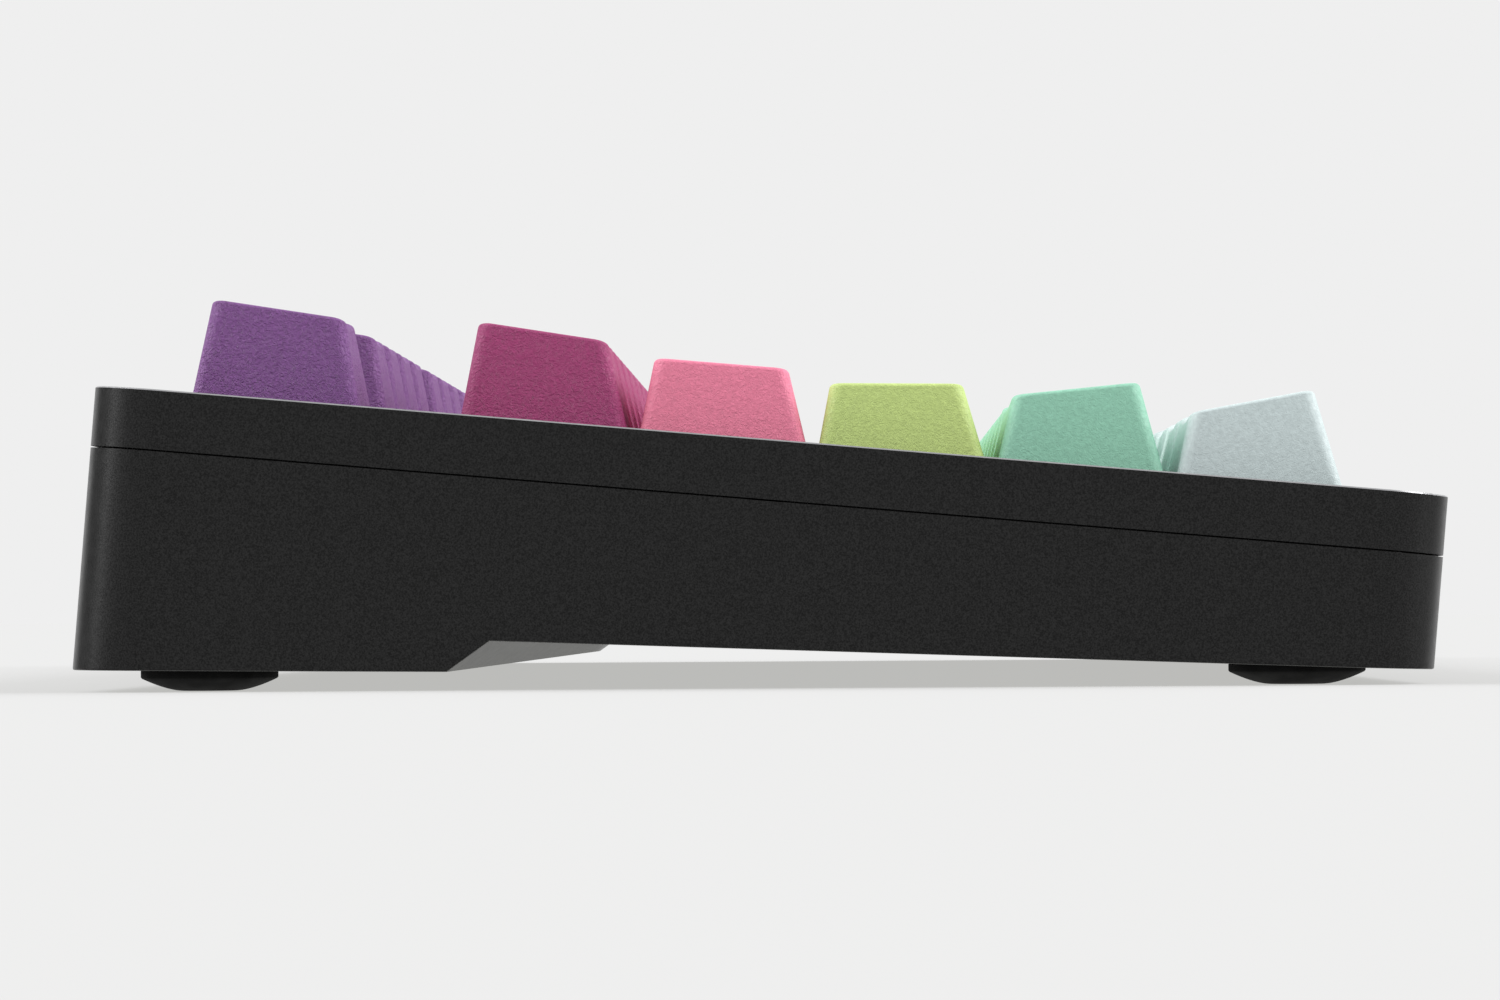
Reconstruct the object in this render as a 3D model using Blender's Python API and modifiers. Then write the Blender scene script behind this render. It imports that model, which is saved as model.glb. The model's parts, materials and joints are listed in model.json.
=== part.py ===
"""A tenkeyless mechanical keyboard: two-piece aluminium case, switch plate, circuit board, 87 keys and their switches.

Units are metres, +Z is up, the typist sits on the -Y side and the long side runs along X. The origin is on the
desk under the middle of the keyboard. Everything but the feet is placed in the case's own frame, which leans back
by the typing angle: its origin is the middle of the case's top face, +y is towards the back and +z is out of that
face, the way the keys travel.
"""

import math

import bmesh
import bpy
from mathutils import Matrix, Vector

# Key grid
UNIT = 0.01905  # centre distance of two single-width keys
BLOCK_WIDTH = 18.25 * UNIT
BLOCK_DEPTH = 6.5 * UNIT
BLOCK_SHIFT = 0.0004  # the key block sits this far behind the middle of the case
KEY_GAP = 0.00095  # between the skirts of neighbouring keycaps
KEY_TRAVEL = 0.004

# Case
TYPING_ANGLE = math.radians(5)
CASE_WIDTH = 0.3672
CASE_DEPTH = 0.143
CASE_CORNER = 0.008
FRAME_HEIGHT = 0.01992 + 0.00604  # of the top face's middle above the desk
FRAME_BACK = -0.00132  # puts the middle of the whole keyboard over the origin
SEAM = -0.0063  # level of the joint between the two halves
SEAM_GAP = 0.0003
EDGE_BREAK = 0.0004
RIB_BOTTOM = -0.005
WINDOW_CLEARANCE = 0.0009  # from a keycap's skirt to the edge of its window
REAR_PAD_HEIGHT = 0.00195  # of the case's underside above the desk, under the rear feet
FRONT_LIP_HEIGHT = 0.0018
PAD_FRONT_Y = 0.0317
RAMP_TOP_Y = 0.0275
RAMP_TOP_Z = -0.0233
LIP_Y = -0.0625
FLOOR_THICKNESS = 0.0023
CAVITY_INSET = 0.006
LEDGE_INSET = 0.004
LEDGE_Z = -0.0088

# Plate, board and switches, stacked on the plate's top face
SKIRT_Z = -0.001  # bottom edge of the keycaps at rest
PLATE_TOP = SKIRT_Z - 0.006
PLATE_THICKNESS = 0.0015
PLATE_INSET = 0.0043
BOARD_TOP = PLATE_TOP - 0.005
BOARD_THICKNESS = 0.0016
BOARD_INSET = 0.0102
SWITCH_HOLE = 0.014
HOUSING_BODY = 0.0134
HOUSING_FLANGE = 0.0156
HOUSING_HEIGHT = 0.0066
SLIDER_SIZE = (0.0070, 0.0056)
SLIDER_HOLE = (0.0076, 0.0062)
REST_GAP = 0.0003  # kept between faces that touch on the real object

# Stabilisers of the wide keys, measured from the key's centre and the plate's top face
WIRE_RADIUS = 0.00075
WIRE_PIVOT_Y = -0.008
WIRE_PIVOT_Z = -0.0032
WIRE_ARM = 0.0085
WIRE_SWING = math.asin(KEY_TRAVEL / WIRE_ARM)
STABILISER_OFFSETS = {2: 0.011938, 2.25: 0.011938, 2.75: 0.011938, 6.25: 0.05}

# Feet, screws and the USB socket
FOOT_RADIUS = 0.0073
FOOT_SEAT_HEIGHT = 0.0026  # height above the desk of the flat seats cut for the feet
FOOT_X = 0.1691
FOOT_REAR_Y = 0.0577
FOOT_FRONT_Y = -0.0578
SCREW_PLACES = {
    "rear_left": (-0.110, 0.0663),
    "rear_right": (0.110, 0.0663),
    "side_left": (-0.1784, 0.0),
    "side_right": (0.1784, 0.0),
    "front_left": (-0.110, -0.0663),
    "front_right": (0.110, -0.0663),
}
SCREW_HEAD_SEAT = -0.0123
SCREW_RADIUS = 0.0015
SCREW_HEAD_RADIUS = 0.00275
USB_X = -0.0545
USB_Z = BOARD_TOP - BOARD_THICKNESS - REST_GAP - 0.0016
USB_MOUTH_Y = 0.0686
PLUG_RECESS_WIDTH = 0.0140
PLUG_RECESS_HEIGHT = 0.0084
PLUG_RECESS_CORNER = 0.0025

# Keycap profiles by row, as (y, height) of the rear and front edges of the top above the skirt
SKIRT_HALF_DEPTH = (UNIT - KEY_GAP) / 2
SIDE_DRAFT = 0.29
WALL = 0.0015
ROOF = 0.0018
ROW_PROFILES = {
    "function": ((0.0080, 0.0116), (-0.0058, 0.01065)),
    "number": ((0.0081, 0.0115), (-0.0056, 0.0105)),
    "upper": ((0.0081, 0.0091), (-0.0062, 0.0091)),
    "home": ((0.0083, 0.0079), (-0.0058, 0.0090)),
    "lower": ((0.0079, 0.0082), (-0.0055, 0.0107)),
    "bottom": ((0.0080, 0.0079), (-0.0051, 0.0115)),
}

# Each row: its rear edge in key units, then runs of keys as (node, left edge, widths)
LAYOUT = {
    "function": (0.0, [
        ("keycap_esc", 0, [1]),
        ("keycaps_f1_to_f4", 2, [1] * 4),
        ("keycaps_f5_to_f8", 6.5, [1] * 4),
        ("keycaps_f9_to_f12", 11, [1] * 4),
        ("keycaps_print_scroll_pause", 15.25, [1] * 3),
    ]),
    "number": (1.5, [
        ("keycap_grave", 0, [1]),
        ("keycaps_digits", 1, [1] * 12),
        ("keycap_backspace", 13, [2]),
        ("keycaps_insert_home_page_up", 15.25, [1] * 3),
    ]),
    "upper": (2.5, [
        ("keycap_tab", 0, [1.5]),
        ("keycaps_upper_letters", 1.5, [1] * 12),
        ("keycap_backslash", 13.5, [1.5]),
        ("keycaps_delete_end_page_down", 15.25, [1] * 3),
    ]),
    "home": (3.5, [
        ("keycap_caps_lock", 0, [1.75]),
        ("keycaps_home_letters", 1.75, [1] * 11),
        ("keycap_enter", 12.75, [2.25]),
    ]),
    "lower": (4.5, [
        ("keycap_left_shift", 0, [2.25]),
        ("keycaps_lower_letters", 2.25, [1] * 10),
        ("keycap_right_shift", 12.25, [2.75]),
        ("keycap_up", 16.25, [1]),
    ]),
    "bottom": (5.5, [
        ("keycap_left_ctrl", 0, [1.25]),
        ("keycap_left_meta", 1.25, [1.25]),
        ("keycap_left_alt", 2.5, [1.25]),
        ("keycap_space", 3.75, [6.25]),
        ("keycap_right_alt", 10, [1.25]),
        ("keycap_right_meta", 11.25, [1.25]),
        ("keycap_menu", 12.5, [1.25]),
        ("keycap_right_ctrl", 13.75, [1.25]),
        ("keycap_left", 15.25, [1]),
        ("keycap_down", 16.25, [1]),
        ("keycap_right", 17.25, [1]),
    ]),
}

# Windows of the top case, in key units: left edge, rear edge, right edge, front edge
WINDOWS = [
    (0, 0, 1, 1),
    (2, 0, 6, 1),
    (6.5, 0, 10.5, 1),
    (11, 0, 15, 1),
    (15.25, 0, 18.25, 1),
    (0, 1.5, 15, 6.5),
    (15.25, 1.5, 18.25, 3.5),
    (15.25, 5.5, 18.25, 6.5),
]
UP_WINDOW = (16.25, 4.5, 17.25, 6)

MATERIALS = {
    "case_black": ((0.022, 0.022, 0.023), 0.42, 0.9),
    "foot_rubber": ((0.01, 0.01, 0.01), 0.8, 0.0),
    "screw_steel": ((0.05, 0.05, 0.05), 0.4, 1.0),
    "plate_steel": ((0.06, 0.06, 0.065), 0.45, 1.0),
    "board_black": ((0.012, 0.015, 0.013), 0.5, 0.0),
    "chip_black": ((0.015, 0.015, 0.015), 0.55, 0.0),
    "socket_steel": ((0.6, 0.6, 0.6), 0.3, 1.0),
    "wire_steel": ((0.55, 0.55, 0.55), 0.3, 1.0),
    "switch_black": ((0.02, 0.02, 0.02), 0.5, 0.0),
    "keycap_function": ((0.22, 0.09, 0.30), 0.6, 0.0),
    "keycap_number": ((0.42, 0.06, 0.19), 0.6, 0.0),
    "keycap_upper": ((0.78, 0.21, 0.32), 0.6, 0.0),
    "keycap_home": ((0.47, 0.55, 0.17), 0.6, 0.0),
    "keycap_lower": ((0.26, 0.54, 0.38), 0.6, 0.0),
    "keycap_bottom": ((0.56, 0.66, 0.67), 0.6, 0.0),
}


def start_scene():
    """Empties the scene and returns the keyboard's collection and the leaning frame of its case."""
    for old in list(bpy.data.objects):
        bpy.data.objects.remove(old)
    parts = bpy.data.collections.new("keyboard")
    bpy.context.scene.collection.children.link(parts)
    frame = bpy.data.objects.new("case_frame", None)
    frame.location = (0, FRAME_BACK, FRAME_HEIGHT)
    frame.rotation_euler = (TYPING_ANGLE, 0, 0)
    parts.objects.link(frame)
    return parts, frame


PARTS, FRAME = start_scene()


def material(name):
    """The Principled material of that name, made on first use."""
    found = bpy.data.materials.get(name)
    if found:
        return found
    colour, roughness, metallic = MATERIALS[name]
    made = bpy.data.materials.new(name)
    made.use_nodes = True
    shader = made.node_tree.nodes["Principled BSDF"]
    shader.inputs["Base Color"].default_value = (*colour, 1)
    shader.inputs["Roughness"].default_value = roughness
    shader.inputs["Metallic"].default_value = metallic
    return made


def object_from(bm, name="tool"):
    """A bmesh made into an object at the frame's origin."""
    mesh = bpy.data.meshes.new(name)
    bm.to_mesh(mesh)
    bm.free()
    made = bpy.data.objects.new(name, mesh)
    PARTS.objects.link(made)
    return made


def finish(part, name, material_name, location=(0, 0, 0), leaning=True):
    """Names and places a finished part, in the leaning frame or standing on the desk."""
    part.name = name
    part.data.name = name
    part.data.materials.clear()
    part.data.materials.append(material(material_name))
    part.location = location
    if leaning:
        part.parent = FRAME
    return part


def box(low, high, corner=0.0, corner_segments=1):
    """A box between two corners, its upright edges rounded by a radius where one is given."""
    low, high = Vector(low), Vector(high)
    bm = bmesh.new()
    bmesh.ops.create_cube(bm, size=1)
    bmesh.ops.scale(bm, vec=high - low, verts=bm.verts)
    bmesh.ops.translate(bm, vec=(low + high) / 2, verts=bm.verts)
    if corner:
        round_upright_edges(bm, corner, corner_segments)
    return object_from(bm)


def round_upright_edges(bm, radius, segments):
    """Bevels the four edges of a box or tapered box that climb from its base to its top."""
    upright = [e for e in bm.edges if abs(e.verts[0].co.z - e.verts[1].co.z) > 0.5 * e.calc_length()]
    bmesh.ops.bevel(bm, geom=upright, offset=radius, segments=segments, profile=0.5, affect="EDGES")


def cylinder(radius, low_z, high_z, centre=(0, 0), sides=16):
    """An upright cylinder."""
    bm = bmesh.new()
    bmesh.ops.create_cone(
        bm, cap_ends=True, segments=sides, radius1=radius, radius2=radius, depth=high_z - low_z
    )
    bmesh.ops.translate(bm, vec=(*centre, (low_z + high_z) / 2), verts=bm.verts)
    return object_from(bm)


def prism(outline, half_length):
    """An outline of (y, z) points drawn out along X to both sides of the middle."""
    curve = bpy.data.curves.new("outline", "CURVE")
    curve.dimensions = "2D"
    curve.fill_mode = "BOTH"
    curve.extrude = half_length
    spline = curve.splines.new("POLY")
    spline.points.add(len(outline) - 1)
    for point, (y, z) in zip(spline.points, outline):
        point.co = (y, z, 0, 1)
    spline.use_cyclic_u = True
    drawn = bpy.data.objects.new("outline", curve)
    PARTS.objects.link(drawn)
    # The curve's own x, y and z become the frame's y, z and x.
    turn = Matrix(((0, 0, 1, 0), (1, 0, 0, 0), (0, 1, 0, 0), (0, 0, 0, 1)))
    return as_mesh(drawn, turn)


def as_mesh(source, matrix=None):
    """The evaluated shape of a curve or of an object with modifiers, as a plain mesh object."""
    bpy.context.view_layer.update()
    graph = bpy.context.evaluated_depsgraph_get()
    bm = bmesh.new()
    bm.from_mesh(bpy.data.meshes.new_from_object(source.evaluated_get(graph)))
    bmesh.ops.remove_doubles(bm, verts=bm.verts, dist=1e-6)
    if matrix is not None:
        bm.transform(matrix)
    bmesh.ops.recalc_face_normals(bm, faces=bm.faces)
    bpy.data.objects.remove(source)
    return object_from(bm)


def turned(profile, steps):
    """A round solid from (radius, z) points that start and end on the axis, top first."""
    mesh = bpy.data.meshes.new("profile")
    edges = [(i, i + 1) for i in range(len(profile) - 1)]
    mesh.from_pydata([(radius, 0, z) for radius, z in profile], edges, [])
    source = bpy.data.objects.new("profile", mesh)
    PARTS.objects.link(source)
    screw = source.modifiers.new("turn", "SCREW")
    screw.steps = screw.render_steps = steps
    screw.use_merge_vertices = True
    screw.merge_threshold = 1e-6
    return as_mesh(source)


def boolean(target, tool, operation):
    """Applies one Boolean to target and uses the tool up."""
    bpy.context.view_layer.update()
    modifier = target.modifiers.new(operation.lower(), "BOOLEAN")
    modifier.operation = operation
    modifier.object = tool
    graph = bpy.context.evaluated_depsgraph_get()
    result = bpy.data.meshes.new_from_object(target.evaluated_get(graph))
    target.modifiers.clear()
    target.data = result
    bpy.data.objects.remove(tool)
    return target


def cut(target, *tools):
    for tool in tools:
        boolean(target, tool, "DIFFERENCE")
    return target


def join(target, *tools):
    for tool in tools:
        boolean(target, tool, "UNION")
    return target


def gathered(objects, places=None):
    """Separate shapes in one mesh, each moved to its place, to be used as one tool."""
    bm = bmesh.new()
    for i, source in enumerate(objects):
        copy = source.data.copy()
        if places:
            copy.transform(Matrix.Translation(places[i]))
        bm.from_mesh(copy)
        bpy.data.meshes.remove(copy)
    for source in set(objects):
        bpy.data.objects.remove(source)
    return object_from(bm)


def grid_x(units):
    return units * UNIT - BLOCK_WIDTH / 2


def grid_y(units):
    return BLOCK_DEPTH / 2 - units * UNIT + BLOCK_SHIFT


def keys_of(row):
    """(node, width in units, centre x, centre y) of each key of a row, left to right."""
    rear_edge, runs = LAYOUT[row]
    found = []
    for node, left, widths in runs:
        for width in widths:
            found.append((node, width, grid_x(left + width / 2), grid_y(rear_edge + 0.5)))
            left += width
    return found


ALL_KEYS = [key for row in LAYOUT for key in keys_of(row)]


def stabiliser_xs(width):
    """Places of a wide key's stabilisers along x from its centre, or none."""
    offset = STABILISER_OFFSETS.get(width)
    return [-offset, offset] if offset else []


# The case


def frame_z(y, height):
    """Level in the leaning frame of the point at that y that is a given height above the desk."""
    return (height - FRAME_HEIGHT - y * math.sin(TYPING_ANGLE)) / math.cos(TYPING_ANGLE)


def case_block(inset, raise_by, top, corner):
    """The lower case's outer form, or with an inset and a raised floor the form of its hollow."""
    half_depth = CASE_DEPTH / 2 - inset
    underside = [
        (half_depth, frame_z(half_depth, REAR_PAD_HEIGHT) + raise_by),
        (PAD_FRONT_Y + raise_by / 2, frame_z(PAD_FRONT_Y, REAR_PAD_HEIGHT) + raise_by),
        (RAMP_TOP_Y + raise_by / 2, RAMP_TOP_Z + raise_by),
        (LIP_Y, frame_z(LIP_Y, FRONT_LIP_HEIGHT) + raise_by),
        (-half_depth, frame_z(-half_depth, FRONT_LIP_HEIGHT) + raise_by),
    ]
    beyond = 0.005
    outline = [(half_depth + beyond, underside[0][1]), *underside[1:-1], (-half_depth - beyond, underside[-1][1])]
    outline += [(-half_depth - beyond, top), (half_depth + beyond, top)]
    block = box(
        (inset - CASE_WIDTH / 2, -half_depth, -0.04),
        (CASE_WIDTH / 2 - inset, half_depth, 0.01),
        corner,
        6,
    )
    return boolean(block, prism(outline, CASE_WIDTH), "INTERSECT")


def foot_seat(x, y):
    """Cutter of one foot's round seat, which is level with the desk."""
    seat = cylinder(FOOT_RADIUS + REST_GAP, -0.01, 0, sides=20)
    upright = Matrix.Rotation(-TYPING_ANGLE, 4, "X")
    seat.data.transform(Matrix.Translation((x, y, frame_z(y, FOOT_SEAT_HEIGHT))) @ upright)
    return seat


def plug_recess():
    """Cutter of the rounded hole in the rear wall that a cable's plug reaches the USB socket through."""
    half_x, half_z = PLUG_RECESS_WIDTH / 2, PLUG_RECESS_HEIGHT / 2
    recess = box((-half_x, -half_z, -0.01), (half_x, half_z, 0.01), PLUG_RECESS_CORNER, 4)
    facing_back = Matrix.Rotation(math.radians(90), 4, "X")
    recess.data.transform(Matrix.Translation((USB_X, USB_MOUTH_Y, USB_Z)) @ facing_back)
    return recess


def build_bottom_case():
    case = case_block(0, 0, SEAM - SEAM_GAP / 2, CASE_CORNER)
    cut(case, case_block(CAVITY_INSET, FLOOR_THICKNESS, 0.005, 0.003))
    ledge_x, ledge_y = CASE_WIDTH / 2 - LEDGE_INSET, CASE_DEPTH / 2 - LEDGE_INSET
    cut(case, box((-ledge_x, -ledge_y, LEDGE_Z), (ledge_x, ledge_y, 0), 0.0045, 3))
    for x, y in SCREW_PLACES.values():
        underside = frame_z(y, REAR_PAD_HEIGHT) if y > PAD_FRONT_Y else RAMP_TOP_Z + 0.05 * (RAMP_TOP_Y - y)
        join(case, cylinder(0.0046, underside + 0.001, LEDGE_Z - 0.0001, (x, y), 12))
        cut(case, cylinder(SCREW_RADIUS + REST_GAP, -0.04, 0, (x, y), 10))
        cut(case, cylinder(SCREW_HEAD_RADIUS + 0.00045, -0.04, SCREW_HEAD_SEAT, (x, y), 10))
    for x in (-FOOT_X, FOOT_X):
        cut(case, foot_seat(x, FOOT_REAR_Y), foot_seat(x, FOOT_FRONT_Y))
    cut(case, plug_recess())
    return finish(case, "bottom_case", "case_black")


def window(left, rear, right, front):
    """Cutter of one window of the top case, given in key units."""
    grow = WINDOW_CLEARANCE - KEY_GAP / 2
    return box(
        (grid_x(left) - grow, grid_y(front) - grow, -0.02),
        (grid_x(right) + grow, grid_y(rear) + grow, 0.02),
    )


def build_top_case():
    low = SEAM + SEAM_GAP / 2
    half_x, half_y = CASE_WIDTH / 2, CASE_DEPTH / 2
    case = box((-half_x, -half_y, low), (half_x, half_y, 0), CASE_CORNER, 6)
    break_top_edge(case)
    lip_x, lip_y = half_x - LEDGE_INSET - REST_GAP, half_y - LEDGE_INSET - REST_GAP
    join(case, box((-lip_x, -lip_y, PLATE_TOP + REST_GAP), (lip_x, lip_y, low + 0.0005), 0.0042, 2))
    pocket_x, pocket_y = BLOCK_WIDTH / 2 + 0.0004, BLOCK_DEPTH / 2 + 0.0008
    cut(case, box((-pocket_x, -pocket_y, -0.02), (pocket_x, pocket_y, RIB_BOTTOM)))
    cut(case, gathered([window(*place) for place in WINDOWS]))
    cut(case, window(*UP_WINDOW))
    holes = [cylinder(SCREW_RADIUS + REST_GAP, -0.02, -0.0018, place, 10) for place in SCREW_PLACES.values()]
    cut(case, gathered(holes))
    return finish(case, "top_case", "case_black")


def break_top_edge(case):
    """Chamfers the outer edge of the top face."""
    bm = bmesh.new()
    bm.from_mesh(case.data)
    rim = [e for e in bm.edges if all(v.co.z > -1e-6 for v in e.verts)]
    bmesh.ops.bevel(bm, geom=rim, offset=EDGE_BREAK, segments=1, affect="EDGES")
    bm.to_mesh(case.data)
    bm.free()


def build_feet():
    rounding = [(0.0073, 0.0013), (0.0067, 0.0009), (0.0055, 0.00045), (0.0043, 0.00014), (0.003, 0)]
    profile = [(0, FOOT_SEAT_HEIGHT - REST_GAP), (FOOT_RADIUS, FOOT_SEAT_HEIGHT - REST_GAP), *rounding, (0, 0)]
    lean = FRAME.rotation_euler.to_matrix()
    for side, x in (("left", -FOOT_X), ("right", FOOT_X)):
        for end, y in (("rear", FOOT_REAR_Y), ("front", FOOT_FRONT_Y)):
            place = Vector(FRAME.location) + lean @ Vector((x, y, frame_z(y, 0)))
            finish(turned(profile, 20), f"foot_{end}_{side}", "foot_rubber", (place.x, place.y, 0), leaning=False)


def build_screws():
    head_low, head_high = SCREW_HEAD_SEAT - REST_GAP - 0.003, SCREW_HEAD_SEAT - REST_GAP
    profile = [
        (0, -0.002),
        (SCREW_RADIUS, -0.002),
        (SCREW_RADIUS, head_high),
        (SCREW_HEAD_RADIUS, head_high),
        (SCREW_HEAD_RADIUS, head_low),
        (0, head_low),
    ]
    for place, (x, y) in SCREW_PLACES.items():
        screw = turned(profile, 10)
        cut(screw, cylinder(0.00115, head_low - 0.001, head_low + 0.0018, sides=6))
        finish(screw, f"case_screw_{place}", "screw_steel", (x, y, 0))


# Plate, board and what sits on them


def build_switch_plate():
    half_x, half_y = CASE_WIDTH / 2 - PLATE_INSET, CASE_DEPTH / 2 - PLATE_INSET
    plate = box((-half_x, -half_y, PLATE_TOP - PLATE_THICKNESS), (half_x, half_y, PLATE_TOP), 0.0042, 2)
    half_hole = SWITCH_HOLE / 2
    holes = []
    for _, width, x, y in ALL_KEYS:
        holes.append(box((x - half_hole, y - half_hole, -0.02), (x + half_hole, y + half_hole, 0)))
        for offset in stabiliser_xs(width):
            slot_x = x + offset
            holes.append(box((slot_x - 0.0038, y - 0.0072, -0.02), (slot_x + 0.0038, y + 0.0075, 0)))
    cut(plate, gathered(holes))
    cut(plate, gathered([cylinder(0.0021, -0.02, 0, place, 8) for place in SCREW_PLACES.values()]))
    return finish(plate, "switch_plate", "plate_steel")


def build_circuit_board():
    half_x, half_y = CASE_WIDTH / 2 - BOARD_INSET, CASE_DEPTH / 2 - BOARD_INSET
    low = BOARD_TOP - BOARD_THICKNESS
    board = box((-half_x, -half_y, low), (half_x, half_y, BOARD_TOP), 0.002, 2)
    cut(board, box((USB_X - 0.012, half_y - 0.004, low - 0.001), (USB_X - 0.008, half_y + 0.001, 0)))
    cut(board, box((USB_X + 0.008, half_y - 0.004, low - 0.001), (USB_X + 0.012, half_y + 0.001, 0)))
    join(board, box((USB_X - 0.008, half_y - 0.002, low), (USB_X + 0.008, half_y + 0.0036, BOARD_TOP)))
    return finish(board, "circuit_board", "board_black")


def build_electronics():
    under = BOARD_TOP - BOARD_THICKNESS - REST_GAP
    chip = box((-0.005, -0.005, -0.0012), (0.005, 0.005, 0))
    finish(chip, "controller_chip", "chip_black", (-0.02, grid_y(1.25), under))
    half_width, half_height, length = 0.00447, 0.0016, 0.0074
    shell = box((-half_width, -length, -half_height), (half_width, 0, half_height))
    cut(shell, box((-0.0042, -0.0062, -0.0013), (0.0042, 0.001, 0.0013)))
    join(shell, box((-0.0034, -0.0066, -0.00035), (0.0034, -0.0012, 0.00035)))
    finish(shell, "usb_socket", "socket_steel", (USB_X, USB_MOUTH_Y, USB_Z))


def switch_housing():
    """One switch's housing with the plate's top face at z 0: body, flange that tapers upwards, slider hole."""
    bottom = PLATE_TOP - BOARD_TOP - REST_GAP
    bm = bmesh.new()
    bmesh.ops.create_cube(bm, size=1)
    bmesh.ops.scale(bm, vec=(HOUSING_FLANGE, HOUSING_FLANGE, HOUSING_HEIGHT - REST_GAP), verts=bm.verts)
    bmesh.ops.translate(bm, vec=(0, 0, (HOUSING_HEIGHT + REST_GAP) / 2), verts=bm.verts)
    top = [v for v in bm.verts if v.co.z > 0.003]
    bmesh.ops.scale(bm, vec=(0.70, 0.66, 1), verts=top)
    housing = object_from(bm)
    half_body = HOUSING_BODY / 2
    join(housing, box((-half_body, -half_body, -bottom), (half_body, half_body, 0.001)))
    half_x, half_y = SLIDER_HOLE[0] / 2, SLIDER_HOLE[1] / 2
    return cut(housing, box((-half_x, -half_y, -0.0035), (half_x, half_y, 0.01)))


def stabiliser_housing():
    """The channel that guides one stabiliser stem, with the plate's top face at z 0."""
    bottom = PLATE_TOP - BOARD_TOP - REST_GAP
    channel = box((-0.0035, -0.0056, -bottom), (0.0035, 0.0069, 0.004))
    return cut(channel, box((-0.0022, -0.008, 0.0004 - bottom), (0.0022, 0.008, 0.005)))


def build_switch_housings():
    """The switches' housings, one node a row: a thin bar along the plate ties each row together."""
    for row in LAYOUT:
        keys = keys_of(row)
        pattern = switch_housing()
        places = [(x, y, PLATE_TOP) for _, _, x, y in keys]
        housings = gathered([pattern] * len(keys), places)
        stands = [(x + offset, y, PLATE_TOP) for _, width, x, y in keys for offset in stabiliser_xs(width)]
        if stands:
            stand = stabiliser_housing()
            housings = gathered([housings, *[stand] * len(stands)], [(0, 0, 0), *stands])
        y = keys[0][3]
        held = [x for x, _, _ in places + stands]
        bar = box(
            (min(held), y + 0.0062, PLATE_TOP + 0.00045),
            (max(held), y + 0.0074, PLATE_TOP + 0.00105),
        )
        finish(join(housings, bar), f"switch_housings_{row}_row", "switch_black")


# Keys


def keycap_form(row, width, inset, roof, skirt_z):
    """A keycap's outer form, or with an inset and a roof thickness the form of its hollow."""
    rear, front = ROW_PROFILES[row]
    half_x = (width * UNIT - KEY_GAP) / 2 - inset
    half_y = SKIRT_HALF_DEPTH - inset
    bm = bmesh.new()
    bmesh.ops.create_cube(bm, size=1)
    for v in bm.verts:
        side, end = math.copysign(1, v.co.x), math.copysign(1, v.co.y)
        if v.co.z < 0:
            v.co = (side * half_x, end * half_y, skirt_z)
            continue
        y, height = rear if end > 0 else front
        v.co = (side * (half_x - SIDE_DRAFT * height), y - end * inset, height - roof)
    return bm


def keycap(row, width):
    """A keycap and the switch slider pressed into it, with the skirt's bottom edge at z 0."""
    outer = keycap_form(row, width, 0, 0, 0)
    round_upright_edges(outer, 0.0013, 1)
    cap = object_from(outer)
    cut(cap, object_from(keycap_form(row, width, WALL, ROOF, -0.0005)))
    rear, front = ROW_PROFILES[row]
    inside_roof = (rear[1] + front[1]) / 2 - ROOF / 2
    half_x, half_y = SLIDER_SIZE[0] / 2, SLIDER_SIZE[1] / 2
    join(cap, box((-half_x, -half_y, -0.0045), (half_x, half_y, inside_roof)))
    wire_top = PLATE_TOP - SKIRT_Z + 0.0019
    for x in stabiliser_xs(width):
        join(cap, box((x - 0.0017, -0.0025, wire_top), (x + 0.0017, 0.0025, inside_roof)))
        join(cap, box((x - 0.0016, 0.0016, wire_top - 0.0017), (x + 0.0016, 0.0024, 0)))
    return cap


def build_keycaps():
    """A node for each single key, and one for each run of keys, whose skirts are tied by small tabs."""
    for row in LAYOUT:
        rear_edge, runs = LAYOUT[row]
        y = grid_y(rear_edge + 0.5)
        for node, left, widths in runs:
            centres = [grid_x(left + i + widths[0] / 2) for i in range(len(widths))]
            middle = sum(centres) / len(centres)
            places = [(x - middle, 0, 0) for x in centres]
            caps = gathered([keycap(row, widths[0])] * len(widths), places)
            reach = KEY_GAP / 2 + 0.001
            ties = [
                box((x + UNIT / 2 - reach, -0.002, 0.00015), (x + UNIT / 2 + reach, 0.002, 0.001))
                for x, _, _ in places[:-1]
            ]
            if ties:
                join(caps, gathered(ties))
            finish(caps, node, f"keycap_{row}", (middle, y, SKIRT_Z))


def build_stabiliser_wires():
    """The bent wire of each wide key, its origin on the bar that it turns about."""
    for node, width, x, y in ALL_KEYS:
        if not stabiliser_xs(width):
            continue
        half = stabiliser_xs(width)[1]
        bend = 0.0012
        arm_y, arm_z = math.cos(WIRE_SWING), math.sin(WIRE_SWING)
        right = [(half - bend, 0), (half - bend * 0.3, bend * 0.3), (half, bend), (half, WIRE_ARM)]
        left = [(-across, along) for across, along in reversed(right)]
        curve = bpy.data.curves.new("wire", "CURVE")
        curve.dimensions = "3D"
        curve.bevel_depth = WIRE_RADIUS
        curve.bevel_resolution = 1
        curve.use_fill_caps = True
        spline = curve.splines.new("POLY")
        spline.points.add(len(left + right) - 1)
        for point, (across, along) in zip(spline.points, left + right):
            point.co = (across, along * arm_y, along * arm_z, 1)
        drawn = bpy.data.objects.new("wire", curve)
        PARTS.objects.link(drawn)
        pivot = (x, y + WIRE_PIVOT_Y, PLATE_TOP + WIRE_PIVOT_Z)
        finish(as_mesh(drawn), f"stabiliser_wire_{node.removeprefix('keycap_')}", "wire_steel", pivot)


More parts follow.
